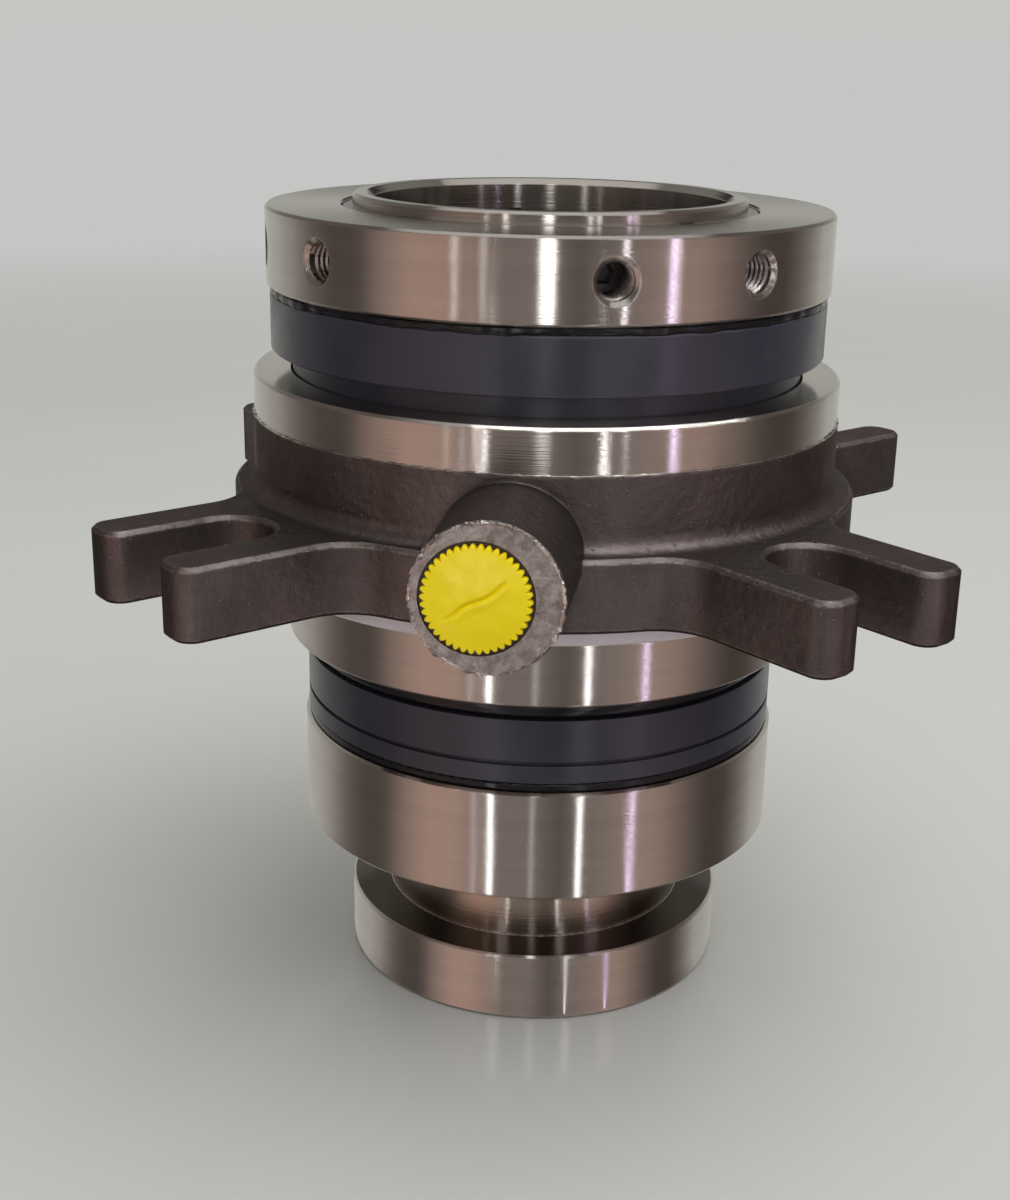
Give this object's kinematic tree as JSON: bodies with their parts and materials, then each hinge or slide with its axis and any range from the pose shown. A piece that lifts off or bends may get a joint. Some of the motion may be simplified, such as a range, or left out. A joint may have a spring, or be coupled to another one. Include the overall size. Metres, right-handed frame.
{
  "type": "cartridge mechanical seal",
  "caption": "Cartridge mechanical seal: a shaft sleeve with a set-screw collar turns in a cast gland with forked bolt lugs and plugged side ports, sealed by flat dark rings.",
  "frame": {"origin": "centre of the inboard end face of the sleeve end ring, on which the seal stands", "axes": "+Z along the shaft towards the drive collar; +X and +Y through the middle of two forked lugs"},
  "size_m": [0.215, 0.215, 0.1851],
  "materials": {
    "turned_steel": "fine turned stainless steel",
    "cast_steel": "blasted casting with turned bands",
    "carbide": "ground dark ceramic",
    "black_rubber": "glossy black rubber",
    "spring_steel": "bright spring steel",
    "pin_steel": "dark hardened steel",
    "yellow_plastic": "moulded plastic"
  },
  "bodies": {
    "rotor": {"shaft_sleeve": "turned_steel", "sleeve_o_ring": "black_rubber", "sleeve_end_ring": "turned_steel", "housing_snap_ring": "spring_steel", "rotor_housing": "turned_steel", "inner_rotating_ring": "carbide", "inner_rotating_o_ring": "black_rubber", "rotor_rim_ring": "black_rubber", "inner_drive_pins": "pin_steel", "outer_rotating_ring": "carbide", "outer_rotating_o_ring": "black_rubber", "collar_rubber_ring": "black_rubber", "outer_drive_pins": "pin_steel", "drive_collar": "turned_steel", "collar_set_screws": "pin_steel", "sleeve_snap_ring": "spring_steel"},
    "sprung_faces": {"inner_stationary_ring": "carbide", "inner_stationary_o_ring": "black_rubber", "inner_bead_ring": "black_rubber", "inner_spring_carrier": "spring_steel", "outer_stationary_ring": "carbide", "outer_stationary_o_ring": "black_rubber", "outer_spring_carrier": "spring_steel"},
    "gland": {"gland": "cast_steel", "inner_anti_rotation_pins": "pin_steel", "outer_anti_rotation_pins": "pin_steel", "inner_springs": "spring_steel", "outer_springs": "spring_steel", "port_plug_front": "yellow_plastic", "port_plug_rear": "yellow_plastic"}
  },
  "joints": [
    {"name": "rotor_spin", "type": "hinge", "parent": "rotor", "child": "sprung_faces", "pos_m": [0, 0, 0.1], "axis": [0, 0, 1], "continuous": true},
    {"name": "gland_float", "type": "slide", "parent": "sprung_faces", "child": "gland", "axis": [0, 0, 1], "range_m": [-0.0015, 0.0015], "stiffness_N_per_m": 60000, "springref_m": 0.00056, "deforming": ["inner_springs", "outer_springs"]}
  ]
}
